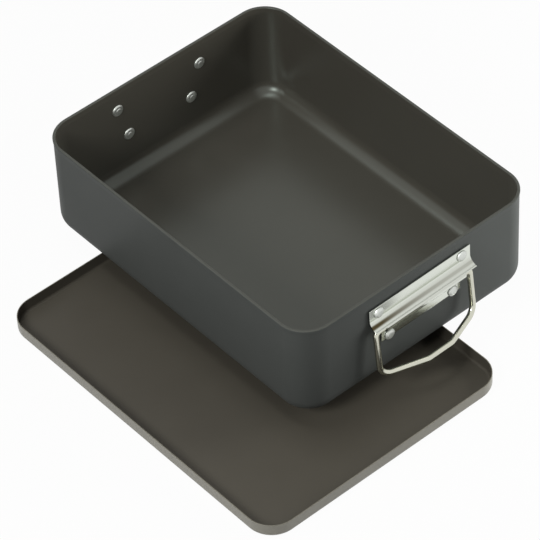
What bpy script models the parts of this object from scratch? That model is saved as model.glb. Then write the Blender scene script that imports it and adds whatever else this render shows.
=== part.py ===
"""A deep rectangular roasting dish with a hinged wire handle at each end, standing on its own upturned lid.

Metres, +Z up. The origin is the middle of the lid's flat underside, on the surface that the lid lies on.
+X runs along the dish's long axis towards the front handle.
"""

import math

import bmesh
import bpy
from mathutils import Matrix, Vector

# Clearances
REST_GAP = 0.0003  # between pieces that rest on each other or pass through each other

# Dish
DISH_LENGTH = 0.370
DISH_WIDTH = 0.2828
DISH_HEIGHT = 0.110
DISH_WALL = 0.003
DISH_CORNER = 0.031  # outer radius of the upright corners
DISH_FOOT = 0.0185  # outer radius between the walls and the base
DISH_RIM_EASE = 0.0007  # the cut edge of the rim is eased by this much
DISH_CORNER_STEPS = 10
DISH_FOOT_STEPS = 7

# Lid
LID_WALL = 0.0010
LID_FIT = 0.0002  # play on each side when the lid is on the dish
LID_HEIGHT = 0.0145
LID_FOOT = 0.0036
LID_RIM_EASE = 0.0003
LID_CORNER_STEPS = 10
LID_FOOT_STEPS = 4
LID_LENGTH = DISH_LENGTH + 2 * (LID_FIT + LID_WALL)
LID_WIDTH = DISH_WIDTH + 2 * (LID_FIT + LID_WALL)
LID_CORNER = 0.027  # sharper than the dish's corners, so that they have play in it

# Where the dish stands on the upturned lid
DISH_SHIFT_X = -0.0717
DISH_SHIFT_Y = 0.1071
DISH_BASE_Z = LID_HEIGHT + REST_GAP

# Pivot line of a handle: outwards from the dish's wall, and above its base
PIVOT_REACH = 0.0060
PIVOT_BELOW_RIM = 0.0411
PIVOT_HEIGHT = DISH_HEIGHT - PIVOT_BELOW_RIM

# Handle bracket: reach is outwards from the dish's wall, heights are above the pivot line
SHEET = 0.0012
SHEET_MIDDLE = REST_GAP + SHEET / 2
BRACKET_HALF = 0.0614
HEM_SHORT = 0.0129  # the hem and the flange below it end this far inside the wings' ends
HEM_HALF = BRACKET_HALF - HEM_SHORT
BRACKET_TOP = 0.0251
COVE_TOP = 0.0110
COVE_TOP_RADIUS = 0.0030
COVE_REACH = 0.0033
COVE_HEIGHT = 0.0044
COVE_RADIUS = 0.0095
NOSE_REACH = 0.0103
NOSE_HEIGHT = 0.0033
NOSE_RADIUS = 0.0009
WING_SHORT = 0.0002  # the wings at the bracket's two ends stop this far short of the nose
HEM_FOOT_RADIUS = 0.0015
BRACKET_FOOT = -0.0225
BRACKET_BEND_STEPS = 8  # for a quarter turn
HANDLE_TILT = 1.0  # degrees: both handles were riveted on slightly askew, right end up seen from outside
FRONT_OFFSET = (-0.0019, 0.0015)  # and each slightly off its place: along +Y, and up
REAR_OFFSET = (-0.0005, -0.0023)

# Wire handle, measured from the pivot line
WIRE_RADIUS = 0.0030
WIRE_PLAY = 0.0003
WIRE_SLIDE = 0.0015  # the loose wire has slid this far to the left along the hem, seen from outside
TAIL_IN_HEM = 0.0145  # how far the wire's turned-in ends reach into the hem
TAIL_HALF = HEM_HALF - TAIL_IN_HEM
LEG_BESIDE_HEM = 0.0091
LEG_HALF = HEM_HALF + LEG_BESIDE_HEM
LEG_BEND = 0.0042
GRIP_CORNER_REACH = 0.0046
GRIP_CORNER_DROP = 0.0514
GRIP_CORNER_BEND = 0.006
GRIP_FLAT_HALF = 0.0135
GRIP_FLAT_REACH = 0.0215
GRIP_FLAT_DROP = 0.0490
GRIP_FLAT_BEND = 0.012
WIRE_BEND_STEPS = 8  # for a quarter turn
WIRE_ROUNDNESS = 3

# Rivets
RIVET_UPPER_INSET = (0.0106, 0.0075)  # inwards from the wing's end, and down from the bracket's top edge
RIVET_LOWER_INSET = (0.0096, 0.0036)  # inwards from the hem's end, and up from the bracket's foot
RIVET_SHANK = 0.0025
RIVET_HEAD = 0.0057
RIVET_DOME = 0.0020
RIVET_TAIL = 0.0063
RIVET_TAIL_THICK = 0.0024
RIVET_SIDES = 20
HOLE_OVERSHOOT = 0.0020  # how far a hole's cutter runs past the wall and the sheet

# Outlines of a rivet's heads, as (share of the radius, share of the height) from the middle outwards
RIVET_HEAD_OUTLINE = ((0.0, 1.0), (0.50, 0.96), (0.78, 0.85), (0.93, 0.58), (0.99, 0.26), (1.0, 0.0))
RIVET_TAIL_OUTLINE = ((0.0, 1.0), (0.40, 1.0), (0.50, 0.88), (0.82, 0.75), (0.97, 0.45), (1.0, 0.0))

# Modelling
SMOOTH_ANGLE = 35  # degrees: sharper edges stay crisp
EASE_ANGLE = 60  # degrees: only the rim's two edges are this sharp
MERGE = 0.00001

# Colour, roughness and metallic value of each finish
STEEL = ((0.70, 0.70, 0.67), 0.22, 1.0)
RIVET_METAL = ((0.56, 0.57, 0.57), 0.34, 1.0)
DISH_METAL = ((0.075, 0.075, 0.070), 0.42, 0.6)
LID_METAL = ((0.080, 0.076, 0.066), 0.46, 0.6)


def clear_scene():
    for item in list(bpy.data.objects):
        bpy.data.objects.remove(item, do_unlink=True)


def new_collection(name):
    collection = bpy.data.collections.new(name)
    bpy.context.scene.collection.children.link(collection)
    return collection


def new_material(name, look):
    color, roughness, metallic = look
    material = bpy.data.materials.new(name)
    material.use_nodes = True
    shader = material.node_tree.nodes["Principled BSDF"]
    shader.inputs["Base Color"].default_value = (*color, 1.0)
    shader.inputs["Roughness"].default_value = roughness
    shader.inputs["Metallic"].default_value = metallic
    return material


def mesh_object(name, bm, collection, material=None):
    mesh = bpy.data.meshes.new(name)
    bm.to_mesh(mesh)
    bm.free()
    item = bpy.data.objects.new(name, mesh)
    collection.objects.link(item)
    if material:
        mesh.materials.append(material)
    return item


def shade_smooth(item):
    """Smooth faces, with the sharp edges kept crisp."""
    bm = bmesh.new()
    bm.from_mesh(item.data)
    for face in bm.faces:
        face.smooth = True
    for edge in bm.edges:
        if len(edge.link_faces) == 2:
            edge.smooth = edge.calc_face_angle() < math.radians(SMOOTH_ANGLE)
    bm.to_mesh(item.data)
    bm.free()


def rounded_path(corners, steps):
    """Points along a line through the corners, each given as (point, bend radius), with its bends rounded."""
    points = [Vector(corners[0][0])]
    for before, here, after in zip(corners, corners[1:], corners[2:]):
        corner, radius = Vector(here[0]), here[1]
        back = (Vector(before[0]) - corner).normalized()
        ahead = (Vector(after[0]) - corner).normalized()
        half = back.angle(ahead) / 2
        cut = radius / math.tan(half)
        middle = (back + ahead).normalized()
        centre = corner + middle * (radius / math.sin(half))
        first = corner + back * cut - centre
        turn = first.rotation_difference(corner + ahead * cut - centre)
        axis, angle = turn.to_axis_angle()
        count = max(2, round(steps * angle / (math.pi / 2)))
        for step in range(count + 1):
            points.append(centre + Matrix.Rotation(angle * step / count, 3, axis) @ first)
    points.append(Vector(corners[-1][0]))
    return points


def open_box(name, length, width, height, corner, foot, wall, ease, steps, collection, material):
    """An open box pressed from sheet: round upright corners, a round foot, an even wall and an eased rim."""
    bm = bmesh.new()
    bmesh.ops.create_cube(bm, size=1.0)
    bmesh.ops.scale(bm, vec=(length, width, height), verts=bm.verts)
    bmesh.ops.translate(bm, vec=(0, 0, height / 2), verts=bm.verts)
    upright = [edge for edge in bm.edges if edge.verts[0].co.z != edge.verts[1].co.z]
    bmesh.ops.bevel(bm, geom=upright, offset=corner, segments=steps[0], profile=0.5, affect="EDGES")
    top = [face for face in bm.faces if min(vert.co.z for vert in face.verts) > height / 2]
    bmesh.ops.delete(bm, geom=top, context="FACES_ONLY")
    base = [edge for edge in bm.edges if max(vert.co.z for vert in edge.verts) < height / 2]
    bmesh.ops.bevel(bm, geom=base, offset=foot, segments=steps[1], profile=0.5, affect="EDGES")
    item = mesh_object(name, bm, collection, material)
    shell = item.modifiers.new("wall", "SOLIDIFY")
    shell.thickness = wall
    shell.offset = -1
    shell.use_even_offset = True
    edge = item.modifiers.new("eased rim", "BEVEL")
    edge.width = ease
    edge.segments = 2
    edge.limit_method = "ANGLE"
    edge.angle_limit = math.radians(EASE_ANGLE)
    shade_smooth(item)
    return item


def cut_holes(item, cutter):
    cut = item.modifiers.new("holes of " + cutter.name, "BOOLEAN")
    cut.operation = "DIFFERENCE"
    cut.solver = "EXACT"
    cut.object = cutter


def rivet_places():
    """(sideways, height above the pivot line) of the four rivets of one handle, by name."""
    upper = (BRACKET_HALF - RIVET_UPPER_INSET[0], BRACKET_TOP - RIVET_UPPER_INSET[1])
    lower = (HEM_HALF - RIVET_LOWER_INSET[0], BRACKET_FOOT + RIVET_LOWER_INSET[1])
    return {
        "upper_left": (-upper[0], upper[1]),
        "upper_right": upper,
        "lower_left": (-lower[0], lower[1]),
        "lower_right": lower,
    }


def rivet_hole_cutter(name, end, collection):
    """Four rods along the rivets of one handle, through the dish's wall and the bracket."""
    bm = bmesh.new()
    reach = DISH_WALL + SHEET + REST_GAP + HOLE_OVERSHOOT
    for across, height in rivet_places().values():
        place = Matrix.Translation((0, across, height)) @ Matrix.Rotation(math.pi / 2, 4, "Y")
        bmesh.ops.create_cone(
            bm,
            cap_ends=True,
            segments=RIVET_SIDES,
            radius1=RIVET_SHANK + REST_GAP,
            radius2=RIVET_SHANK + REST_GAP,
            depth=2 * reach,
            matrix=place,
        )
    cutter = mesh_object(name, bm, collection)
    cutter.parent = end
    cutter.hide_render = True
    cutter.display_type = "WIRE"
    return cutter


def bracket_profile():
    """The middle of the bent sheet, as (reach, height above the pivot line), from its top edge down."""
    wrap = WIRE_RADIUS + WIRE_PLAY + SHEET / 2
    nose = Vector((NOSE_REACH, NOSE_HEIGHT))
    pivot = Vector((PIVOT_REACH, 0))
    to_nose = nose - pivot
    touch_angle = math.atan2(to_nose.y, to_nose.x) - math.acos(wrap / to_nose.length)
    touch = pivot + wrap * Vector((math.cos(touch_angle), math.sin(touch_angle)))
    slope = touch - nose
    turn_under = nose + slope * ((-wrap - nose.y) / slope.y)
    corners = [
        ((SHEET_MIDDLE, BRACKET_TOP), 0),
        ((SHEET_MIDDLE, COVE_TOP), COVE_TOP_RADIUS),
        ((COVE_REACH, COVE_HEIGHT), COVE_RADIUS),
        ((NOSE_REACH, NOSE_HEIGHT), NOSE_RADIUS),
        (tuple(turn_under), wrap),
        ((SHEET_MIDDLE, -wrap), HEM_FOOT_RADIUS),
        ((SHEET_MIDDLE, BRACKET_FOOT), 0),
    ]
    corners = [((reach, 0, height), radius) for (reach, height), radius in corners]
    return [(point.x, point.z) for point in rounded_path(corners, BRACKET_BEND_STEPS)]


def make_bracket(name, end, collection, material):
    """One strip of sheet bent round the wire: the wings at its two ends stop at the nose."""
    profile = bracket_profile()
    farthest = max(reach for reach, height in profile)
    wing_rows = next(row for row, (reach, height) in enumerate(profile) if reach > farthest - WING_SHORT)
    columns = [-BRACKET_HALF, -HEM_HALF, HEM_HALF, BRACKET_HALF]
    bm = bmesh.new()
    grid = [[bm.verts.new((reach, across, height)) for across in columns] for reach, height in profile]
    for row in range(len(profile) - 1):
        spans = range(3) if row < wing_rows else range(1, 2)
        for column in spans:
            above, below = grid[row], grid[row + 1]
            bm.faces.new((above[column], above[column + 1], below[column + 1], below[column]))
    loose = [vert for vert in bm.verts if not vert.link_faces]
    bmesh.ops.delete(bm, geom=loose, context="VERTS")
    item = mesh_object(name, bm, collection, material)
    item.parent = end
    shell = item.modifiers.new("sheet", "SOLIDIFY")
    shell.thickness = SHEET
    shell.offset = 0
    shell.use_even_offset = True
    shade_smooth(item)
    return item


def make_wire_handle(name, end, collection, material):
    """A bent wire whose turned-in ends lie in the bracket's hem. Its origin is on the pivot line."""
    half = [
        ((0, -TAIL_HALF, 0), 0),
        ((0, -LEG_HALF, 0), LEG_BEND),
        ((GRIP_CORNER_REACH, -LEG_HALF, -GRIP_CORNER_DROP), GRIP_CORNER_BEND),
        ((GRIP_FLAT_REACH, -GRIP_FLAT_HALF, -GRIP_FLAT_DROP), GRIP_FLAT_BEND),
    ]
    mirrored = [((point[0], -point[1], point[2]), radius) for point, radius in reversed(half)]
    path = rounded_path(half + mirrored, WIRE_BEND_STEPS)
    curve = bpy.data.curves.new(name, "CURVE")
    curve.dimensions = "3D"
    curve.bevel_depth = WIRE_RADIUS
    curve.bevel_resolution = WIRE_ROUNDNESS
    curve.use_fill_caps = True
    line = curve.splines.new("POLY")
    line.points.add(len(path) - 1)
    for slot, point in zip(line.points, path):
        slot.co = (*point, 1.0)
    line.use_smooth = True
    curve.materials.append(material)
    item = bpy.data.objects.new(name, curve)
    collection.objects.link(item)
    item.parent = end
    item.location = (PIVOT_REACH, -WIRE_SLIDE, 0)
    return item


def rivet_profile():
    """(radius, reach) down one side of a rivet, from the middle of its outer head to the inner one's."""
    seat = REST_GAP + SHEET + REST_GAP
    inside = -DISH_WALL - REST_GAP
    head = [(RIVET_HEAD * out, seat + RIVET_DOME * up) for out, up in RIVET_HEAD_OUTLINE]
    tail = [(RIVET_TAIL * out, inside - RIVET_TAIL_THICK * up) for out, up in RIVET_TAIL_OUTLINE]
    return head + [(RIVET_SHANK, seat), (RIVET_SHANK, inside)] + tail[::-1]


def make_rivet(name, end, across, height, collection, material):
    """Turned about its own Z, which is laid outwards from the dish."""
    bm = bmesh.new()
    points = [bm.verts.new((radius, 0, reach)) for radius, reach in rivet_profile()]
    for first, second in zip(points, points[1:]):
        bm.edges.new((first, second))
    item = mesh_object(name, bm, collection, material)
    item.parent = end
    item.location = (0, across, height)
    item.rotation_euler = (0, math.pi / 2, 0)
    turned = item.modifiers.new("turned", "SCREW")
    turned.axis = "Z"
    turned.steps = RIVET_SIDES
    turned.render_steps = RIVET_SIDES
    turned.use_merge_vertices = True
    turned.merge_threshold = MERGE
    turned.use_smooth_shade = True
    return item


def handle_end(name, direction, offset, collection):
    """An empty on an end wall at the pivot's height, +X outwards. The direction is 1 in front, -1 behind."""
    end = bpy.data.objects.new(name, None)
    collection.objects.link(end)
    end.location = (
        DISH_SHIFT_X + direction * DISH_LENGTH / 2,
        DISH_SHIFT_Y + offset[0],
        DISH_BASE_Z + PIVOT_HEIGHT + offset[1],
    )
    end.rotation_euler = (math.radians(HANDLE_TILT), 0, 0 if direction > 0 else math.pi)
    return end


def main():
    clear_scene()
    parts = new_collection("roasting_dish")
    cutters = new_collection("cutters")
    cutters.hide_render = True
    steel = new_material("polished stainless steel", STEEL)
    rivet_metal = new_material("aluminium rivet", RIVET_METAL)
    dish_metal = new_material("dark anodised dish", DISH_METAL)
    lid_metal = new_material("dark anodised lid", LID_METAL)

    open_box(
        "lid",
        LID_LENGTH,
        LID_WIDTH,
        LID_HEIGHT,
        LID_CORNER,
        LID_FOOT,
        LID_WALL,
        LID_RIM_EASE,
        (LID_CORNER_STEPS, LID_FOOT_STEPS),
        parts,
        lid_metal,
    )
    pan = open_box(
        "pan",
        DISH_LENGTH,
        DISH_WIDTH,
        DISH_HEIGHT,
        DISH_CORNER,
        DISH_FOOT,
        DISH_WALL,
        DISH_RIM_EASE,
        (DISH_CORNER_STEPS, DISH_FOOT_STEPS),
        parts,
        dish_metal,
    )
    pan.location = (DISH_SHIFT_X, DISH_SHIFT_Y, DISH_BASE_Z)

    for side, direction, offset in (("front", 1, FRONT_OFFSET), ("rear", -1, REAR_OFFSET)):
        end = handle_end(side + "_end", direction, offset, parts)
        cutter = rivet_hole_cutter(side + "_rivet_holes", end, cutters)
        cut_holes(pan, cutter)
        bracket = make_bracket(side + "_bracket", end, parts, steel)
        cut_holes(bracket, cutter)
        make_wire_handle(side + "_wire_handle", end, parts, steel)
        for place, (across, height) in rivet_places().items():
            make_rivet(f"{side}_rivet_{place}", end, across, height, parts, rivet_metal)
    bpy.context.view_layer.update()


main()
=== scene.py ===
# %% [markdown]
# # A deep roasting dish on its upturned lid
#
# The real object is a kitchen roasting dish. Two pieces are pressed from aluminium sheet and hard
# anodised dark grey: the deep dish, and a shallow lid that doubles as a tray. A folded strip of
# polished stainless steel is riveted to each short end, and a steel wire handle hangs in it.
#
# The sizes and joints come from a finished construction model, the frame. This script only gives
# each piece its fine surface, its finish and its light. Lengths are in metres, with +Z up and the
# middle of the lid's underside at the origin.

import math

import bmesh
import bpy
from mathutils import Matrix, Vector


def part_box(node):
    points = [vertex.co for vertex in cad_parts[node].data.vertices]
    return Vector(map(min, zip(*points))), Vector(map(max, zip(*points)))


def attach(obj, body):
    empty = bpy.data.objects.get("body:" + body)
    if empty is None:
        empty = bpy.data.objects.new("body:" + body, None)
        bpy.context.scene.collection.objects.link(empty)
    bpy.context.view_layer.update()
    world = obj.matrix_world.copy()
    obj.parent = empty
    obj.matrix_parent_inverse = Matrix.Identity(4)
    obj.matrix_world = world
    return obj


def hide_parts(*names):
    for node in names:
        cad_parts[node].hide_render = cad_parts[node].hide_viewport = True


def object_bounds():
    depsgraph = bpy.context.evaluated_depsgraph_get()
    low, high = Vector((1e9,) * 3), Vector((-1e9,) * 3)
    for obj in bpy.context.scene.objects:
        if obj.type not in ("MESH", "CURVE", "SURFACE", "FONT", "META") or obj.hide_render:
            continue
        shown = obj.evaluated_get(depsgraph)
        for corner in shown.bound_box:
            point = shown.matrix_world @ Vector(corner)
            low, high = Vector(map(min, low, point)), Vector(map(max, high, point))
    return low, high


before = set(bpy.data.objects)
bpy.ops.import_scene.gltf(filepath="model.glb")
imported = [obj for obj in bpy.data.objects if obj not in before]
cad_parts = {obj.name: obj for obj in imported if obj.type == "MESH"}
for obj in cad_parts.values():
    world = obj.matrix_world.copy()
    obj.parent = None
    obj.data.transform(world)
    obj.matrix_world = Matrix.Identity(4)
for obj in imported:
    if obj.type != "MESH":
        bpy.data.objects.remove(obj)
cad_low, cad_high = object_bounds()

# %% [markdown]
# ## Camera
#
# The photograph was taken from far away with a long lens, so the dish's long edges look almost
# parallel. The camera stands by its direction: azimuth, height above the horizon, distance, and a
# slight roll, because the real camera wasn't quite level. A camera could also be placed by eye in
# the viewport, but by numbers each of its properties can be matched alone.

# %% Camera
AIM = Vector((-0.0244, 0.0456, 0.060))  # the point in the middle of the picture
AZIMUTH, ELEVATION, ROLL = (math.radians(d) for d in (50.782, 44.951, -2.913))
DISTANCE = 3.3160
FOCAL_MM = 240.52

level = Vector((math.sin(AZIMUTH), -math.cos(AZIMUTH), 0))
away = level * math.cos(ELEVATION) + Vector((0, 0, math.sin(ELEVATION)))
lens = bpy.data.cameras.new("camera")
lens.sensor_width = 36
lens.lens = FOCAL_MM
lens.clip_end = 100
camera = bpy.data.objects.new("camera", lens)
bpy.context.scene.collection.objects.link(camera)
camera.rotation_mode = "QUATERNION"
camera.location = AIM + away * DISTANCE
rolled = Matrix.Rotation(ROLL, 4, "Z").to_quaternion()
camera.rotation_quaternion = (-away).to_track_quat("-Z", "Y") @ rolled
bpy.context.scene.camera = camera
print("camera stands", round(DISTANCE, 2), "m away")

# %% [markdown]
# ## Small helpers
#
# A node tree is easier to read when each node is one call. This helper makes a node, sets its
# settings, and fills its inputs either with a value or with a link from another node's output.

# %% One call for each node
def add_node(tree, kind, inputs=None, **settings):
    """A new node with these settings, and with its inputs filled by values or linked to outputs."""
    made = tree.nodes.new(kind)
    for name, value in settings.items():
        setattr(made, name, value)
    for name, value in (inputs or {}).items():
        if isinstance(value, bpy.types.NodeSocket):
            tree.links.new(value, made.inputs[name])
        else:
            made.inputs[name].default_value = value
    return made


# %% [markdown]
# Paint charts and photographs give colours as sRGB, but a shader works with linear light. One
# function turns a hex value into the linear colour that looks the same.

# %% Hex colours
def linear(hex_value):
    """An sRGB colour such as "4C4E4D" as linear red, green, blue and alpha."""
    parts = [int(hex_value[i : i + 2], 16) / 255 for i in (0, 2, 4)]
    return (*[c / 12.92 if c <= 0.04045 else ((c + 0.055) / 1.055) ** 2.4 for c in parts], 1.0)


print("mid grey 808080 is", round(linear("808080")[0], 3), "in linear light")

# %% [markdown]
# ## Studio
#
# A pale floor runs far past the object, like a paper sweep. The photograph's background is pure
# white. More light would bleach the object too, so the camera and the mirror-like metals see the
# floor and the sky as white, by Light Path. Every other ray sees the plain paper and a dim sky. A
# small share of the paper stays in the picture, and it carries the object's shadow.

# %% Floor and sky
FLOOR_HALF = 12.0
FLOOR_WHITE = 0.96  # how much of what the camera sees of the floor is plain white
SKY_FILL = 0.10  # how bright the sky is for the rays that light things up


def seen_directly(tree):
    """1 for rays from the camera and from reflections, 0 for the rays that light things up."""
    rays = add_node(tree, "ShaderNodeLightPath").outputs
    either = {0: rays["Is Camera Ray"], 1: rays["Is Glossy Ray"]}
    glossy = add_node(tree, "ShaderNodeMath", either, operation="MAXIMUM")
    any_of = {0: glossy.outputs[0], 1: rays["Is Transmission Ray"]}
    return add_node(tree, "ShaderNodeMath", any_of, operation="MAXIMUM").outputs[0]


paper = bpy.data.materials.new("white paper sweep")
paper.use_nodes = True
tree = paper.node_tree
tree.nodes.clear()
share = add_node(tree, "ShaderNodeMath", {0: seen_directly(tree), 1: FLOOR_WHITE}, operation="MULTIPLY")
matt = add_node(tree, "ShaderNodeBsdfDiffuse", {"Color": linear("CFCFCF")})
glow = add_node(tree, "ShaderNodeEmission", {"Color": linear("FFFFFF"), "Strength": 1.0})
mixed = add_node(tree, "ShaderNodeMixShader", {0: share.outputs[0], 1: matt.outputs[0], 2: glow.outputs[0]})
add_node(tree, "ShaderNodeOutputMaterial", {"Surface": mixed.outputs[0]})

bpy.ops.mesh.primitive_plane_add(size=2 * FLOOR_HALF, location=(0, 0, cad_low.z))
floor = bpy.context.object
floor.name = "floor"
floor.data.materials.append(paper)

world = bpy.data.worlds.new("studio")
bpy.context.scene.world = world
world.use_nodes = True
tree = world.node_tree
tree.nodes.clear()
white = seen_directly(tree)
strength = add_node(tree, "ShaderNodeMapRange", {"Value": white, "To Min": SKY_FILL, "To Max": 1.0})
sky = add_node(tree, "ShaderNodeBackground", {"Color": linear("FFFFFF"), "Strength": strength.outputs[0]})
add_node(tree, "ShaderNodeOutputWorld", {"Surface": sky.outputs[0]})
print("floor at", round(floor.location.z, 4))

# %% [markdown]
# Three soft lamps light the dish. A wide one hangs overhead. A smaller one stands in front, no
# higher than it is far, and casts the dark strips along the inside of the near walls. A low one on
# the right brightens the short end. One even dome of light would be simpler, but the dish's grey
# walls would then all look alike. The low lamp is close, so it is hidden from reflections: it would
# burn a white band into the wire.

# %% Lamps
LAMP_COLOR = "FDFFFB"


def soft_light(name, place, size, watts):
    """A square lamp aimed at the dish."""
    lamp = bpy.data.lights.new(name, "AREA")
    lamp.shape = "SQUARE"
    lamp.size = size
    lamp.energy = watts
    lamp.color = linear(LAMP_COLOR)[:3]
    item = bpy.data.objects.new(name, lamp)
    bpy.context.scene.collection.objects.link(item)
    item.location = place
    item.rotation_euler = (AIM - Vector(place)).to_track_quat("-Z", "Y").to_euler()
    return item


soft_light("overhead softbox", (-0.36, -0.08, 1.76), 0.8, 9.8)
soft_light("front softbox", (0.28, -1.24, 1.12), 0.50, 16.0)
low = soft_light("right softbox", (0.44, 0.76, 0.24), 0.45, 6.8)
low.visible_glossy = False
bpy.context.scene.view_settings.view_transform = "Standard"

# %% [markdown]
# ## Hard anodised aluminium
#
# Hard anodising grows a dense, glassy oxide into the metal. Once dyed dark it hides the metal, so
# it is drawn as a dark skin without metallic, and its gloss is a share of a clear skin's. The
# blasted surface below spreads that gloss wide: a roughness of 0.3 inside the dish, where the die
# polished the sheet, 0.5 outside, and about 0.4 on the lid. The bath is never quite even, so colour
# and roughness drift a little over some centimetres. The grain is really about 0.1 mm. It is drawn
# at 0.6 mm as bump, or it wouldn't show.

# %% Anodised finishes
CLOUD = 0.060  # size in metres of the blotches in the colour
HAZE = 0.025  # and of those in the roughness
HAZE_SPREAD = 0.03  # how far the roughness drifts to either side
GRAIN = 0.0006
GRAIN_DEPTH = 0.0002
GRAIN_STRENGTH = 0.06
MIX_A, MIX_B, MIXED = 6, 7, 2  # a Mix node's sockets for colours, found by number


def new_material(name):
    """A material, its node tree and its Principled shader."""
    material = bpy.data.materials.new(name)
    material.use_nodes = True
    return material, material.node_tree, material.node_tree.nodes["Principled BSDF"]


def anodised(name, dark, light, rough, gloss, gleam="FFFFFF"):
    """Hard anodised aluminium: its colour drifts from dark to light, and gleam tints its gloss."""
    material, tree, shader = new_material(name)
    place = add_node(tree, "ShaderNodeTexCoord").outputs["Object"]
    clouds = add_node(tree, "ShaderNodeTexNoise", {"Vector": place, "Scale": 1 / CLOUD, "Detail": 3.0})
    drift = {"Factor": clouds.outputs["Fac"], MIX_A: linear(dark), MIX_B: linear(light)}
    tint = add_node(tree, "ShaderNodeMix", drift, data_type="RGBA").outputs[MIXED]
    tree.links.new(tint, shader.inputs["Base Color"])
    shader.inputs["Specular IOR Level"].default_value = gloss
    shader.inputs["Specular Tint"].default_value = linear(gleam)
    blurred = {"Vector": place, "Scale": 1 / HAZE, "Detail": 5.0, "Roughness": 0.6}
    haze = add_node(tree, "ShaderNodeTexNoise", blurred).outputs["Fac"]
    spread = {"Value": haze, "To Min": rough - HAZE_SPREAD, "To Max": rough + HAZE_SPREAD}
    uneven = add_node(tree, "ShaderNodeMapRange", spread).outputs[0]
    tree.links.new(uneven, shader.inputs["Roughness"])
    sand = add_node(tree, "ShaderNodeTexNoise", {"Vector": place, "Scale": 1 / GRAIN, "Detail": 2.0})
    grain = {"Height": sand.outputs["Fac"], "Strength": GRAIN_STRENGTH, "Distance": GRAIN_DEPTH}
    tree.links.new(add_node(tree, "ShaderNodeBump", grain).outputs[0], shader.inputs["Normal"])
    return material


# %% [markdown]
# The dish is greyer outside, and browner and glossier inside, with a faint green gleam. The lid is
# browner still. Its outside is glossy, and its colour is also painted much lighter, as a painted
# reflection of the white floor. The cut rims catch the eye as thin lines, so they have finishes of
# their own, and the lid's rim is painted lighter, as a painted highlight.

# %% Six finishes
OUTSIDE = anodised("hard anodised outside of the dish", "4B4D4C", "515352", 0.50, 0.06)
INSIDE = anodised("hard anodised inside of the dish", "45423C", "4B4842", 0.30, 0.54, gleam="F0FFF8")
RIM = anodised("anodised cut rim", "4A4B47", "52534E", 0.42, 0.20)
TRAY = anodised("hard anodised lid", "4A463F", "504C45", 0.42, 0.16)
# The lid's outside is painted much lighter, a painted reflection of the white floor, and its rim is painted
# lighter, a painted highlight.
TRAY_OUTSIDE_PAINTED_LIGHT = anodised("hard anodised outside of the lid with painted reflection", "757166", "7D796E", 0.36, 0.80)
TRAY_RIM_PAINTED_LIGHT = anodised("anodised cut rim of the lid with painted highlight", "6E6A60", "767268", 0.42, 0.30)
print("finishes:", [item.name for item in (OUTSIDE, INSIDE, RIM, TRAY, TRAY_OUTSIDE_PAINTED_LIGHT, TRAY_RIM_PAINTED_LIGHT)])

# %% [markdown]
# ## Outlines with rounded bends
#
# Sheet and wire are bent, so nearly every outline here is a line with arcs at its corners. It
# could be drawn as a Bezier curve, but then its radii would only be near the real ones. Here the
# corners and their bend radii are given, and the arcs are worked out.

# %% Rounded outline
def rounded_path(corners, steps):
    """Points through the corners, each (point, bend radius), with `steps` parts to a quarter turn."""
    points = [Vector(corners[0][0])]
    for before, here, after in zip(corners, corners[1:], corners[2:]):
        corner, radius = Vector(here[0]), here[1]
        back = (Vector(before[0]) - corner).normalized()
        ahead = (Vector(after[0]) - corner).normalized()
        half = back.angle(ahead) / 2
        cut = radius / math.tan(half)
        centre = corner + (back + ahead).normalized() * (radius / math.sin(half))
        first = corner + back * cut - centre
        turn = first.rotation_difference(corner + ahead * cut - centre)
        axis, angle = turn.to_axis_angle()
        count = max(2, round(steps * angle / (math.pi / 2)))
        for step in range(count + 1):
            points.append(centre + Matrix.Rotation(angle * step / count, 3, axis) @ first)
    points.append(Vector(corners[-1][0]))
    return points


right_angle = [((0, 0, 0), 0), ((0.02, 0, 0), 0.01), ((0.02, 0.02, 0), 0)]
print("a right angle with a 10 mm bend has", len(rounded_path(right_angle, 8)), "points")


def path_object(name, points):
    """A poly curve through the points, for a node tree to read. It is removed once it has been used."""
    curve = bpy.data.curves.new(name, "CURVE")
    curve.dimensions = "3D"
    line = curve.splines.new("POLY")
    line.points.add(len(points) - 1)
    for slot, point in zip(line.points, points):
        slot.co = (*point, 1.0)
    item = bpy.data.objects.new(name, curve)
    bpy.context.scene.collection.objects.link(item)
    return item


# %% [markdown]
# ## Running a node tree
#
# Each Geometry Nodes tree below is built in this script and has named inputs. To use it, an empty
# mesh gets a Nodes modifier, the inputs are set, and the result is copied into a plain mesh.

# %% From node tree to plain mesh
def new_tree(name, sockets):
    """A Geometry Nodes tree with a geometry output and these (name, socket type) inputs."""
    tree = bpy.data.node_groups.new(name, "GeometryNodeTree")
    tree.interface.new_socket(name="Geometry", in_out="OUTPUT", socket_type="NodeSocketGeometry")
    for label, kind in sockets:
        tree.interface.new_socket(name=label, in_out="INPUT", socket_type=kind)
    given = tree.nodes.new("NodeGroupInput")
    return tree, given.outputs


def run_tree(tree, name, values):
    """The tree's result with these input values, as a new object with a plain mesh at the origin."""
    host = bpy.data.objects.new(name + "_host", bpy.data.meshes.new(name + "_host"))
    bpy.context.scene.collection.objects.link(host)
    modifier = host.modifiers.new("nodes", "NODES")
    modifier.node_group = tree
    for item in tree.interface.items_tree:
        if item.in_out == "INPUT":
            modifier[item.identifier] = values[item.name]
    bpy.context.view_layer.update()
    ready = host.evaluated_get(bpy.context.evaluated_depsgraph_get())
    mesh = bpy.data.meshes.new_from_object(ready)
    bpy.data.objects.remove(host)
    mesh.name = name
    piece = bpy.data.objects.new(name, mesh)
    bpy.context.scene.collection.objects.link(piece)
    return piece


# %% [markdown]
# ## Pressed shells
#
# The dish and the lid are both pressed from flat sheet: straight walls, round upright corners, and
# a round foot where wall meets floor. A box with bevelled edges would do, but the two bevels meet
# badly at the corners. Here the section of the wall is drawn once and swept round a rounded
# rectangle by Geometry Nodes, as the press's die is cut. The same tree makes both shells.

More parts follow.
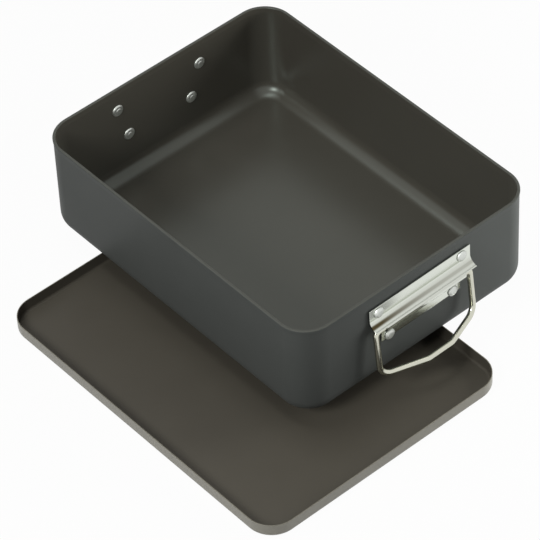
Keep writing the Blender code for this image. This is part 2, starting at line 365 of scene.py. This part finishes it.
# %% Sweep tree
shell_tree, given = new_tree(
    "section swept round a rounded rectangle",
    [
        ("Section", "NodeSocketObject"),
        ("Length", "NodeSocketFloat"),
        ("Width", "NodeSocketFloat"),
        ("Corner radius", "NodeSocketFloat"),
        ("Corner steps", "NodeSocketInt"),
        ("Material", "NodeSocketMaterial"),
    ],
)
outline = add_node(
    shell_tree,
    "GeometryNodeCurvePrimitiveQuadrilateral",
    {"Width": given["Length"], "Height": given["Width"]},
)
rounded = add_node(
    shell_tree,
    "GeometryNodeFilletCurve",
    {"Curve": outline.outputs[0], "Count": given["Corner steps"], "Radius": given["Corner radius"]},
    mode="POLY",
)
drawn = add_node(shell_tree, "GeometryNodeObjectInfo", {"Object": given["Section"]})
swept = add_node(
    shell_tree,
    "GeometryNodeCurveToMesh",
    {"Curve": rounded.outputs[0], "Profile Curve": drawn.outputs["Geometry"]},
)
smooth = add_node(shell_tree, "GeometryNodeSetShadeSmooth", {"Geometry": swept.outputs[0]})
real = add_node(shell_tree, "GeometryNodeRealizeInstances", {"Geometry": smooth.outputs[0]})
painted = add_node(
    shell_tree, "GeometryNodeSetMaterial", {"Geometry": real.outputs[0], "Material": given["Material"]}
)
add_node(shell_tree, "NodeGroupOutput", {"Geometry": painted.outputs[0]})
print(shell_tree.name, "has", len(shell_tree.nodes), "nodes")

# %% [markdown]
# The section is an outline with a radius at each bend. The press leaves the wall a little flared
# at the rim, and the cut rim's edges are eased. The section runs a little way onto the floor, so
# that the shading is already flat where the floor's big face starts.

# %% Section of the wall
FLOOR_LAP = 0.002
FOOT_STEPS = 14
UP_THE_OUTSIDE, OVER_THE_RIM = 3, 5  # corners of the section where the rim starts and ends


def tray_section(height, wall, foot, ease, flare, flare_height):
    """(outwards, height) from under the floor, up the outside, over the rim and down the inside."""
    return [
        ((-foot - FLOOR_LAP, 0), 0),
        ((-flare, 0), foot - flare),
        ((-flare, height - flare_height), flare_height),
        ((0, height - 2 * ease), flare_height / 2),
        ((0, height), ease),
        ((-wall, height), ease),
        ((-wall, height - 2 * ease), flare_height / 2),
        ((-wall - flare, height - flare_height), flare_height),
        ((-wall - flare, wall), foot - wall - flare),
        ((-foot - FLOOR_LAP, wall), 0),
    ]


# %% [markdown]
# Each face of a shell gets its finish by where it lies: on the rim, inside or outside. Face groups
# drawn by hand would do the same, but a rule still holds when a size changes.

# %% Finish by place
FACING_UP = 0.7  # a face whose normal rises this much looks up
FACING_OUT = 0.000001  # and one whose normal leads away from the middle by this much looks out


def outer_side(centre, reach, wall, corner):
    """True where a point lies in the outer half of the wall's thickness."""
    past = Vector((max(abs(centre.x) - reach.x + corner, 0), max(abs(centre.y) - reach.y + corner, 0)))
    return past.length > corner - wall / 2


def paint_by_place(bm, section, reach, corner):
    """Sets each face's material: 0 outside, 1 inside, 2 on the rim."""
    wall = -section[OVER_THE_RIM][0][0]
    rim_start = section[UP_THE_OUTSIDE][0][1]
    for face in bm.faces:
        face.smooth = True
        centre = face.calc_center_median()
        looks_out = face.normal.xy.dot(centre.xy) >= FACING_OUT or outer_side(centre, reach, wall, corner)
        if face.normal.z > FACING_UP and centre.z > rim_start:
            face.material_index = 2
        elif centre.z > wall / 2 and not looks_out:
            face.material_index = 1


# %% [markdown]
# The swept section leaves two holes, the floor's upper and lower face. They are filled with one
# flat face each, because a pressed floor is plain sheet.

# %% Pressed shell
CORNER_STEPS = 28
MERGE = 0.00001


def pressed_shell(name, low, high, corner, section, inside, outside, rim):
    """A shell that fills the box from low to high, with its three finishes by place."""
    path = rounded_path([((out, up, 0), radius) for (out, up), radius in section], FOOT_STEPS)
    points = [Vector((out, -up, 0)) for out, up, _ in path]
    drawn = path_object(name + "_section", points)
    values = {
        "Section": drawn,
        "Length": high.x - low.x,
        "Width": high.y - low.y,
        "Corner radius": corner,
        "Corner steps": CORNER_STEPS,
        "Material": outside,
    }
    piece = run_tree(shell_tree, name, values)
    bpy.data.objects.remove(drawn)
    bm = bmesh.new()
    bm.from_mesh(piece.data)
    bmesh.ops.remove_doubles(bm, verts=bm.verts, dist=MERGE)
    bmesh.ops.holes_fill(bm, edges=[edge for edge in bm.edges if edge.is_boundary], sides=0)
    bmesh.ops.recalc_face_normals(bm, faces=bm.faces)
    paint_by_place(bm, section, (high - low).xy / 2, corner)
    middle = (low + high) / 2
    bmesh.ops.translate(bm, vec=(middle.x, middle.y, low.z), verts=bm.verts)
    bm.to_mesh(piece.data)
    bm.free()
    piece.data.materials.append(inside)
    piece.data.materials.append(rim)
    print(name, len(piece.data.polygons), "faces")
    return piece


# %% [markdown]
# The dish's wall is 3 mm thick. Its foot is a wide quarter circle, which makes it easy to clean and
# gives the light band all round the inner floor.

# %% Dish
pan_low, pan_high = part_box("pan")
pan_wall = tray_section(
    pan_high.z - pan_low.z, wall=0.003, foot=0.0185, ease=0.0008, flare=0.0006, flare_height=0.006
)
pan = pressed_shell(
    "roasting_dish",
    pan_low,
    pan_high,
    corner=0.031,
    section=pan_wall,
    inside=INSIDE,
    outside=OUTSIDE,
    rim=RIM,
)
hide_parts("pan")
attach(pan, "dish")

# %% [markdown]
# The lid is thinner sheet with a tight foot. It lies upturned and is just wide enough to go round
# the dish's rim.

# %% Lid
lid_low, lid_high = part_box("lid")
lid_wall = tray_section(
    lid_high.z - lid_low.z, wall=0.0010, foot=0.0036, ease=0.0003, flare=0.0, flare_height=0.003
)
lid = pressed_shell(
    "lid_tray",
    lid_low,
    lid_high,
    corner=0.027,
    section=lid_wall,
    inside=TRAY,
    outside=TRAY_OUTSIDE_PAINTED_LIGHT,
    rim=TRAY_RIM_PAINTED_LIGHT,
)
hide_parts("lid")
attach(lid, "lid")

# %% [markdown]
# ## The two ends
#
# Both short ends carry the same set: a bracket, a wire handle and four rivets. The set is drawn in
# the end's own frame, where the first number is the reach out from the wall, the second runs along
# the wall, and the third is the height above the line that the handle turns about. Both sets were
# riveted on a little askew, and not quite at the same height, as the photograph shows.

# %% Where the ends are
FRONT_ALONG, FRONT_RISE = 0.1052, 0.0704  # y of the set's middle, and the pivot's height above the foot
REAR_ALONG, REAR_RISE = 0.1066, 0.0666
ASKEW = Matrix.Rotation(math.radians(1.0), 4, "X")
ABOUT_FACE = Matrix.Rotation(math.pi, 4, "Z")

FRONT_END = Matrix.Translation((pan_high.x, FRONT_ALONG, pan_low.z + FRONT_RISE)) @ ASKEW
REAR_END = Matrix.Translation((pan_low.x, REAR_ALONG, pan_low.z + REAR_RISE)) @ ABOUT_FACE @ ASKEW
print("handles turn at", round(FRONT_END.translation.z, 4), "and", round(REAR_END.translation.z, 4))

# %% [markdown]
# ## Polished stainless steel
#
# The brackets are cut from bright cold-rolled strip, so they mirror the room a little blurred. Such
# strip is never quite flat: a faint wave as wide as a thumb bends the reflections. It could be
# modelled, but as bump it costs nothing and leaves the size alone. The crease is darkened with a
# brown painted shade, which a vertex attribute mixes into the metal's colour. The
# wire is drawn through a die, which leaves a warmer shine. The rivets are soft aluminium, matt from
# the press, with fine scratches.

# %% Steel and rivet metal
SMEARS_PER_STAIN = 3  # smears in the shine are this many times finer than the stains
SMEAR_SPREAD = 0.15  # and change the roughness by this share to either side
SCRATCH = 0.0004  # real scratches are ten times finer, and wouldn't show
SCRATCH_DEPTH = 0.0001


def bright_metal(name, dark, light, rough, patch, wave, wave_size, scratch=0.0, painted_shade=""):
    """A bare metal with stains `patch` wide, and a wave `wave` deep and `wave_size` long, in metres."""
    material, tree, shader = new_material(name)
    place = add_node(tree, "ShaderNodeTexCoord").outputs["Object"]
    stains = add_node(tree, "ShaderNodeTexNoise", {"Vector": place, "Scale": 1 / patch, "Detail": 3.0})
    drift = {"Factor": stains.outputs["Fac"], MIX_A: linear(dark), MIX_B: linear(light)}
    tint = add_node(tree, "ShaderNodeMix", drift, data_type="RGBA").outputs[MIXED]
    # When a crease colour is given, it is painted shade, mixed in by a vertex attribute of the same name.
    if painted_shade:
        shade_share = add_node(tree, "ShaderNodeAttribute", attribute_name="painted_shade").outputs["Fac"]
        shaded = {"Factor": shade_share, MIX_A: tint, MIX_B: linear(painted_shade)}
        tint = add_node(tree, "ShaderNodeMix", shaded, data_type="RGBA").outputs[MIXED]
    tree.links.new(tint, shader.inputs["Base Color"])
    shader.inputs["Metallic"].default_value = 1.0
    streaks = {"Vector": place, "Scale": SMEARS_PER_STAIN / patch, "Detail": 4.0}
    smear = add_node(tree, "ShaderNodeTexNoise", streaks).outputs["Fac"]
    spread = {"Value": smear, "To Min": rough * (1 - SMEAR_SPREAD), "To Max": rough * (1 + SMEAR_SPREAD)}
    uneven = add_node(tree, "ShaderNodeMapRange", spread).outputs[0]
    tree.links.new(uneven, shader.inputs["Roughness"])
    hollow = add_node(tree, "ShaderNodeTexNoise", {"Vector": place, "Scale": 1 / wave_size, "Detail": 0.0})
    bend = {"Height": hollow.outputs["Fac"], "Strength": 1.0, "Distance": wave}
    face = add_node(tree, "ShaderNodeBump", bend)
    if scratch:
        lines = add_node(tree, "ShaderNodeTexNoise", {"Vector": place, "Scale": 1 / SCRATCH, "Detail": 2.0})
        marks = {"Height": lines.outputs["Fac"], "Strength": scratch, "Distance": SCRATCH_DEPTH}
        face = add_node(tree, "ShaderNodeBump", {**marks, "Normal": face.outputs[0]})
    tree.links.new(face.outputs[0], shader.inputs["Normal"])
    return material


# 4E452F is painted shade: a dark brown in the strip's crease and on the slope below it.
STRIP = bright_metal(
    "bright rolled stainless strip", "D6DAD1", "DCE0D7", 0.18, 0.030, 0.00005, 0.040, painted_shade="4E452F"
)
WIRE = bright_metal("drawn stainless wire", "C8C8B9", "D3D3C4", 0.20, 0.020, 0.0001, 0.030)
RIVET = bright_metal("pressed aluminium rivet", "D0D3CE", "DDE0DB", 0.46, 0.008, 0.0001, 0.006, scratch=0.1)
print("metals:", [item.name for item in (STRIP, WIRE, RIVET)])

# %% [markdown]
# ## Brackets
#
# Each bracket is one strip of 1.2 mm sheet. Its top lies flat on the wall under two rivets. Below
# that it swings out in a long cove, turns round a sharp nose, and comes back under the handle's
# wire as a hem. It ends as a second flat strip on the wall under two more rivets. The strip's
# middle line is drawn first, as a folding machine bends it.

# %% Strip's middle line
SHEET = 0.0012
WALL_GAP = 0.0003
STRIP_MIDDLE = WALL_GAP + SHEET / 2  # reach of the middle line where the strip lies along the wall
WIRE_RADIUS = 0.0030
WIRE_PLAY = 0.0003
PIVOT = Vector((0.0060, 0))  # reach and height of the line that the handle turns about
UPPER_EDGE, LOWER_EDGE = 0.0251, -0.0225  # heights of the strip's two ends
LEAVES_WALL, LEAVING_RADIUS = 0.0110, 0.0060  # where its top swings out from the wall
COVE_CORNER = Vector((0.0033, 0, 0.0044))
COVE_RADIUS = 0.0095
NOSE = Vector((0.0103, 0.0033))
NOSE_RADIUS = 0.0009
HEM_RADIUS = 0.0015  # where the hem turns down onto the wall
BEND_STEPS = 14
EDGE_BAND = 0.0006  # a narrow band along each free edge, so that only it shades round the edge


def bracket_line():
    """The strip's middle line, as (reach, height) from its top edge to its lower one."""
    wrap = WIRE_RADIUS + WIRE_PLAY + SHEET / 2
    to_nose = NOSE - PIVOT
    angle = math.atan2(to_nose.y, to_nose.x) - math.acos(wrap / to_nose.length)
    slope = PIVOT + wrap * Vector((math.cos(angle), math.sin(angle))) - NOSE
    turn_under = NOSE + slope * ((-wrap - NOSE.y) / slope.y)
    corners = [
        ((STRIP_MIDDLE, UPPER_EDGE), 0),
        ((STRIP_MIDDLE, LEAVES_WALL), LEAVING_RADIUS),
        ((COVE_CORNER.x, COVE_CORNER.z), COVE_RADIUS),
        (NOSE, NOSE_RADIUS),
        (turn_under, wrap),
        ((STRIP_MIDDLE, -wrap), HEM_RADIUS),
        ((STRIP_MIDDLE, LOWER_EDGE), 0),
    ]
    path = rounded_path([((place[0], 0, place[1]), radius) for place, radius in corners], BEND_STEPS)
    top = path[0] - Vector((0, 0, EDGE_BAND))
    foot = path[-1] + Vector((0, 0, EDGE_BAND))
    return [path[0], top, *path[1:-1], foot, path[-1]]


print("strip bent at", len(bracket_line()), "points")

# %% [markdown]
# Along the crease the strip is painted dark brown, as painted shade. It is strongest in the crease
# and more at one end than the other, as the photograph shows, and a lighter share of it lies on the
# slope below. A noise texture could place it, but it has to follow the bend, so each point of the
# strip carries its share.

# %% Painted shade in the crease
PAINTED_SHADE_CORE = 0.0012  # the painted shade is full this far from the crease
PAINTED_SHADE_REACH = 0.0032  # and it ends this far from it
PAINTED_SHADE_MIDDLE, PAINTED_SHADE_LEAN, PAINTED_SHADE_ENDS = 0.58, -0.36, 0.20  # in the middle, to one side, at both ends
# the share of painted shade on the slope below the crease
SLOPE_PAINTED_SHADE = 0.16


def painted_shade_share(line, across):
    """How much painted shade each point of the line carries, at `across` from -1 to 1 along the crease."""
    crease = min(range(len(line)), key=lambda i: (line[i] - COVE_CORNER).length)
    along = PAINTED_SHADE_MIDDLE + PAINTED_SHADE_LEAN * across + PAINTED_SHADE_ENDS * across * across
    shares = []
    for index, point in enumerate(line):
        part = line[min(index, crease) : max(index, crease) + 1]
        off = sum((b - a).length for a, b in zip(part, part[1:]))
        core = min(1.0, max(0.0, (PAINTED_SHADE_REACH - off) / (PAINTED_SHADE_REACH - PAINTED_SHADE_CORE)))
        slope_shade = SLOPE_PAINTED_SHADE * min(1.0, max(0.0, 2 - off / PAINTED_SHADE_REACH)) if index < crease else SLOPE_PAINTED_SHADE
        shares.append(max(core * along, slope_shade if point.z > 0 else 0.0))
    return shares


strongest = [max(painted_shade_share(bracket_line(), across)) for across in (-1, 0, 1)]
print("film in the crease, from one end to the other:", [round(share, 2) for share in strongest])

# %% [markdown]
# The line is stretched into a sheet. The hem is narrower than the rest, so that the wire's legs can
# hang beside it: the wide part stops at the nose.

# %% Sheet without thickness
BRACKET_HALF = 0.0614
HEM_HALF = 0.0485
HEM_PARTS = 12
WING_SHORT = 0.0002  # the wide part stops this much short of the nose's farthest reach


def strip_mesh(name, end):
    """The folded strip as a single layer, in place on its end wall."""
    line = bracket_line()
    farthest = max(point.x for point in line)
    last_wide = next(i for i, point in enumerate(line) if point.x > farthest - WING_SHORT)
    inner = [(HEM_HALF - EDGE_BAND) * (2 * step / HEM_PARTS - 1) for step in range(HEM_PARTS + 1)]
    ends = (HEM_HALF, BRACKET_HALF - EDGE_BAND, BRACKET_HALF)
    columns = (*[-across for across in reversed(ends)], *inner, *ends)
    bm = bmesh.new()
    # Each point carries its share of the painted shade in the crease.
    painted_shade = bm.verts.layers.float.new("painted_shade")
    rows = [[bm.verts.new((point.x, across, point.z)) for across in columns] for point in line]
    for index, (upper, lower) in enumerate(zip(rows, rows[1:])):
        for column in range(len(columns) - 1):
            if abs(columns[column] + columns[column + 1]) / 2 < HEM_HALF or index < last_wide:
                bm.faces.new((upper[column], upper[column + 1], lower[column + 1], lower[column]))
    for column, across in enumerate(columns):
        for row, share in zip(rows, painted_shade_share(line, across / BRACKET_HALF)):
            row[column][painted_shade] = share
    bmesh.ops.delete(bm, geom=[vert for vert in bm.verts if not vert.link_faces], context="VERTS")
    bmesh.ops.recalc_face_normals(bm, faces=bm.faces)
    bmesh.ops.transform(bm, matrix=end, verts=bm.verts)
    mesh = bpy.data.meshes.new(name)
    bm.to_mesh(mesh)
    bm.free()
    return mesh


# %% [markdown]
# Solidify gives the sheet its 1.2 mm, and Bevel breaks its edges, as tumbling does after the strip
# is cut. Both are applied at once, so the finished piece is a plain mesh.

# %% Bracket
BROKEN_EDGE = 0.00018


def bracket(name, end, node):
    """The folded strip with its thickness and its broken edges, as one plain mesh."""
    piece = bpy.data.objects.new(name, strip_mesh(name, end))
    piece.data.materials.append(STRIP)
    bpy.context.scene.collection.objects.link(piece)
    thick = piece.modifiers.new("thickness", "SOLIDIFY")
    thick.thickness = SHEET
    thick.offset = 0
    thick.use_even_offset = True
    edge = piece.modifiers.new("broken edges", "BEVEL")
    edge.width = BROKEN_EDGE
    edge.segments = 2
    edge.limit_method = "ANGLE"
    edge.angle_limit = math.radians(50)
    bpy.context.view_layer.update()
    ready = piece.evaluated_get(bpy.context.evaluated_depsgraph_get())
    solid = bpy.data.meshes.new_from_object(ready)
    piece.modifiers.clear()
    piece.data = solid
    solid.shade_smooth()
    solid.set_sharp_from_angle(angle=math.radians(40))
    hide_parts(node)
    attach(piece, "dish")
    print(name, len(solid.polygons), "faces")


bracket("front_end_bracket", FRONT_END, "front_bracket")
bracket("rear_end_bracket", REAR_END, "rear_bracket")

# %% [markdown]
# ## Wire handles
#
# A 6 mm wire is bent into a wide, shallow trapeze. Its two ends turn inwards into the hem, where
# they work as hinge pins. A curve with a bevel would make the same tube. Here Geometry Nodes sweeps
# a circle along the bend line, so the tube's radius and its number of sides stay named inputs. The
# ends are capped, because the hem's open ends let them be seen from the side.

# %% Wire tree
wire_tree, given = new_tree(
    "round wire along a path",
    [
        ("Path", "NodeSocketObject"),
        ("Radius", "NodeSocketFloat"),
        ("Sides", "NodeSocketInt"),
        ("Material", "NodeSocketMaterial"),
    ],
)
bent = add_node(wire_tree, "GeometryNodeObjectInfo", {"Object": given["Path"]})
circle = add_node(
    wire_tree, "GeometryNodeCurvePrimitiveCircle", {"Resolution": given["Sides"], "Radius": given["Radius"]}
)
swept = add_node(
    wire_tree,
    "GeometryNodeCurveToMesh",
    {"Curve": bent.outputs["Geometry"], "Profile Curve": circle.outputs["Curve"], "Fill Caps": True},
)
smooth = add_node(wire_tree, "GeometryNodeSetShadeSmooth", {"Geometry": swept.outputs[0]})
real = add_node(wire_tree, "GeometryNodeRealizeInstances", {"Geometry": smooth.outputs[0]})
painted = add_node(
    wire_tree, "GeometryNodeSetMaterial", {"Geometry": real.outputs[0], "Material": given["Material"]}
)
add_node(wire_tree, "NodeGroupOutput", {"Geometry": painted.outputs[0]})
print(wire_tree.name, "has", len(wire_tree.nodes), "nodes")

# %% [markdown]
# Half of the bend line is written down, and the other half mirrors it. The legs lean out a little,
# and the grip bows outwards so that fingers fit behind it. The wire is loose, and it has slid a
# little to one side.

# %% Wire handle
TAIL_HALF = 0.034
LEG_HALF = 0.0576
HALF_BEND_LINE = [  # each corner is (reach, along the wall, height), bend radius
    ((0, -TAIL_HALF, 0), 0),
    ((0, -LEG_HALF, 0), 0.0042),
    ((0.0046, -LEG_HALF, -0.0514), 0.0105),
    ((0.02148, -0.0135, -0.0490), 0.012),
]
WIRE_SLIDE = 0.0015  # the loose wire has slid this far along the hem
WIRE_SIDES = 32
WIRE_BEND_STEPS = 16


def wire_handle(name, end, node, body):
    """The whole wire, hanging from its bracket's hem at this end and riding on this body."""
    other = [((reach, -across, up), radius) for (reach, across, up), radius in reversed(HALF_BEND_LINE)]
    middle = end @ Matrix.Translation((PIVOT.x, -WIRE_SLIDE, 0))
    bends = rounded_path(HALF_BEND_LINE + other, WIRE_BEND_STEPS)
    path = path_object(name + "_path", [middle @ point for point in bends])
    values = {"Path": path, "Radius": WIRE_RADIUS, "Sides": WIRE_SIDES, "Material": WIRE}
    piece = run_tree(wire_tree, name, values)
    bpy.data.objects.remove(path)
    piece.data.set_sharp_from_angle(angle=math.radians(50))
    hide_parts(node)
    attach(piece, body)
    print(name, len(piece.data.polygons), "faces")


wire_handle("front_handle_wire", FRONT_END, "front_wire_handle", "front_handle")
wire_handle("rear_handle_wire", REAR_END, "rear_wire_handle", "rear_handle")

# %% [markdown]
# ## Rivets
#
# Eight equal rivets hold the brackets. Outside, each shows a low head with a stepped rim. Inside,
# the press spread the tail into a button with a raised middle. A rivet is round, so one outline is
# spun about its axis, as on a lathe.

# %% Turned rivet
HEAD_SEAT = 0.0018  # reach of the head's underside, 0.3 mm clear of the bracket
TAIL_SEAT = -0.0033  # and of the tail's, 0.3 mm clear of the wall's inner face
SHANK_RADIUS = 0.0025
HEAD = [  # each corner is (distance from the axis, height off the seat), bend radius
    ((0, 0.0020), 0),
    ((0.0033, 0.0020), 0.0008),
    ((0.0040, 0.00155), 0.0008),
    ((0.0053, 0.0012), 0.0008),
    ((0.0057, 0), 0),
]
TAIL = [
    ((0, 0.0024), 0),
    ((0.0025, 0.0024), 0.0005),
    ((0.0031, 0.0019), 0.0005),
    ((0.0052, 0.00175), 0.0010),
    ((0.0063, 0.0009), 0.0008),
    ((0.0063, 0), 0),
]
RIVET_SIDES = 48
RIVET_STEPS = 8
POLE_MERGE = 0.000002


def lathe_order(face):
    """A number that sorts faces by height, and round the axis where they are at the same height."""
    middle = face.calc_center_median()
    return round(middle.z / POLE_MERGE) * 10 + math.atan2(middle.y, middle.x)


def turned_blank():
    """The rivet's outline spun about its axis, head up."""
    head = rounded_path([((across, 0, HEAD_SEAT + up), r) for (across, up), r in HEAD], RIVET_STEPS)
    tail = rounded_path([((across, 0, TAIL_SEAT - up), r) for (across, up), r in TAIL], RIVET_STEPS)
    shank = [Vector((SHANK_RADIUS, 0, HEAD_SEAT)), Vector((SHANK_RADIUS, 0, TAIL_SEAT))]
    bm = bmesh.new()
    verts = [bm.verts.new(point) for point in head + shank + tail[::-1]]
    edges = [bm.edges.new(pair) for pair in zip(verts, verts[1:])]
    bmesh.ops.spin(
        bm, geom=verts + edges, cent=(0, 0, 0), axis=(0, 0, 1), angle=2 * math.pi, steps=RIVET_SIDES
    )
    bmesh.ops.remove_doubles(bm, verts=bm.verts, dist=POLE_MERGE)
    bmesh.ops.recalc_face_normals(bm, faces=bm.faces)
    bm.faces.sort(key=lathe_order)  # Spin leaves them in another order each run
    mesh = bpy.data.meshes.new("rivet_blank")
    bm.to_mesh(mesh)
    bm.free()
    blank = bpy.data.objects.new("rivet_blank", mesh)
    bpy.context.scene.collection.objects.link(blank)
    return blank


# %% [markdown]
# Geometry Nodes put a copy of the rivet on each of eight points, turned by the direction that the
# wall faces there. Eight copies by hand would look the same, but then each change would be made
# eight times.

# %% Rivet tree
rivet_tree, given = new_tree(
    "rivet on each point",
    [("Places", "NodeSocketObject"), ("Blank", "NodeSocketObject"), ("Material", "NodeSocketMaterial")],
)
places = add_node(rivet_tree, "GeometryNodeObjectInfo", {"Object": given["Places"]})
blank = add_node(rivet_tree, "GeometryNodeObjectInfo", {"Object": given["Blank"]})
outwards = add_node(
    rivet_tree, "GeometryNodeInputNamedAttribute", {"Name": "outwards"}, data_type="FLOAT_VECTOR"
)
turned = add_node(
    rivet_tree, "FunctionNodeAlignRotationToVector", {"Vector": outwards.outputs["Attribute"]}, axis="Z"
)
put = add_node(
    rivet_tree,
    "GeometryNodeInstanceOnPoints",
    {
        "Points": places.outputs["Geometry"],
        "Instance": blank.outputs["Geometry"],
        "Rotation": turned.outputs[0],
    },
)
smooth = add_node(rivet_tree, "GeometryNodeSetShadeSmooth", {"Geometry": put.outputs[0]})
real = add_node(rivet_tree, "GeometryNodeRealizeInstances", {"Geometry": smooth.outputs[0]})
painted = add_node(
    rivet_tree, "GeometryNodeSetMaterial", {"Geometry": real.outputs[0], "Material": given["Material"]}
)
add_node(rivet_tree, "NodeGroupOutput", {"Geometry": painted.outputs[0]})
print(rivet_tree.name, "has", len(rivet_tree.nodes), "nodes")

# %% [markdown]
# Two rivets go through the bracket's upper strip and two through its lower one, nearer together
# because the hem is narrower. A point cloud holds their places, with the direction as an attribute.

# %% Rivets in place
UPPER_INSET, LOWER_INSET = 0.0106, 0.0096  # from the strip's end to the rivet's middle
UPPER = (BRACKET_HALF - UPPER_INSET, 0.0176)  # place along the wall, and height above the pivot
LOWER = (HEM_HALF - LOWER_INSET, -0.0189)

spots = []
for end in (FRONT_END, REAR_END):
    facing = end.to_3x3() @ Vector((1, 0, 0))
    for across, up in (UPPER, LOWER):
        for side in (-1, 1):
            spots.append((end @ Vector((0, side * across, up)), facing))
places_mesh = bpy.data.meshes.new("rivet_places")
places_mesh.from_pydata([place for place, _ in spots], [], [])
facings = places_mesh.attributes.new("outwards", "FLOAT_VECTOR", "POINT")
for item, (_, facing) in zip(facings.data, spots):
    item.vector = facing
rivet_places = bpy.data.objects.new("rivet_places", places_mesh)
bpy.context.scene.collection.objects.link(rivet_places)
rivet_blank = turned_blank()
rivets = run_tree(
    rivet_tree, "rivets", {"Places": rivet_places, "Blank": rivet_blank, "Material": RIVET}
)
for item in (rivet_places, rivet_blank):
    bpy.data.objects.remove(item)
rivets.data.set_sharp_from_angle(angle=math.radians(40))
corners = [f"{level}_{side}" for level in ("upper", "lower") for side in ("left", "right")]
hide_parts(*[f"{end}_rivet_{corner}" for end in ("front", "rear") for corner in corners])
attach(rivets, "dish")
print("rivets", len(spots), "with", len(rivets.data.polygons), "faces")
